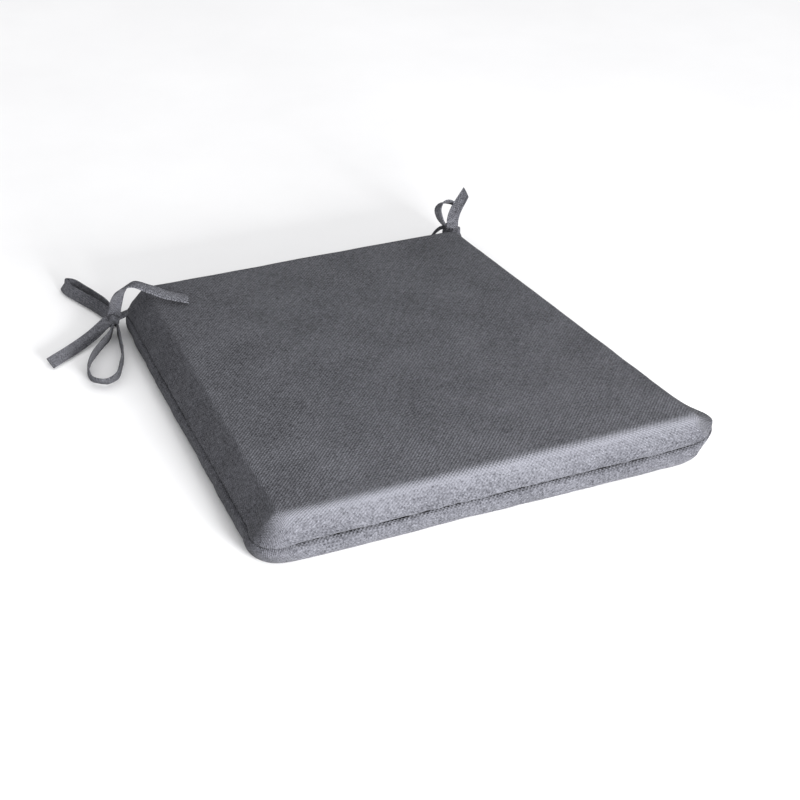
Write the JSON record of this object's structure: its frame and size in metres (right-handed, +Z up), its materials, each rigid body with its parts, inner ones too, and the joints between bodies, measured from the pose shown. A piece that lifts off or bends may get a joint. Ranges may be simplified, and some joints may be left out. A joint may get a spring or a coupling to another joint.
{
  "type": "chair seat pad",
  "caption": "Tapered square foam seat pad in a woven cover with a seam low on its sides, a zip in the back seam and a fabric tie bow at each back corner.",
  "frame": {"origin": "middle of the flat underside, between the front and back seams", "axes": "+Z up out of the seat, -Y towards the wide front edge, +Y towards the narrow back edge with the ties, +X to the right seen from the front"},
  "size_m": [0.4564, 0.474, 0.071],
  "materials": {
    "cover_cloth": "matt woven",
    "strap_cloth": "matt woven",
    "foam": "open-cell",
    "thread": "spun",
    "zip_tape": "matt woven",
    "zip_coil": "satin",
    "zip_metal": "dark plated"
  },
  "bodies": {
    "pad": {"top_cover": "cover_cloth", "bottom_cover": "cover_cloth", "foam_core": "foam", "seam_needle_thread": "thread", "seam_bobbin_thread": "thread", "zip_stitching": "thread", "left_bar_tack": "thread", "right_bar_tack": "thread", "zip_upper_tape": "zip_tape", "zip_lower_tape": "zip_tape", "zip_upper_coil": "zip_coil", "zip_lower_coil": "zip_coil", "zip_end_stops": "zip_metal", "left_neck": "strap_cloth"},
    "left_tie": {"left_knot": "strap_cloth", "left_loop_back": "strap_cloth", "left_loop_front": "strap_cloth", "left_tail_out": "strap_cloth", "left_tail_over": "strap_cloth"},
    "right_tie": {"right_neck": "strap_cloth", "right_knot": "strap_cloth", "right_loop_up": "strap_cloth", "right_loop_down": "strap_cloth", "right_tail_up": "strap_cloth", "right_tail_down": "strap_cloth"},
    "zip_slider": {"zip_slider": "zip_metal"},
    "zip_pull": {"zip_pull": "zip_metal"}
  },
  "joints": [
    {"name": "left_tie_fold", "type": "hinge", "parent": "pad", "child": "left_tie", "pos_m": [-0.182, 0.185, 0.0125], "axis": [-0.3697, -0.9292, 0], "range_deg": [0, 55]},
    {"name": "right_tie_fold", "type": "hinge", "parent": "pad", "child": "right_tie", "pos_m": [0.1669, 0.194, 0.0155], "axis": [-0.7071, 0.7071, 0], "range_deg": [-10, 110]},
    {"name": "zip_travel", "type": "slide", "parent": "pad", "child": "zip_slider", "axis": [-1, 0, 0], "range_m": [0, 0.236]},
    {"name": "zip_pull_swing", "type": "hinge", "parent": "zip_slider", "child": "zip_pull", "pos_m": [0.118, 0.1989, 0.015], "axis": [0, 0, -1], "range_deg": [0, 170]}
  ]
}
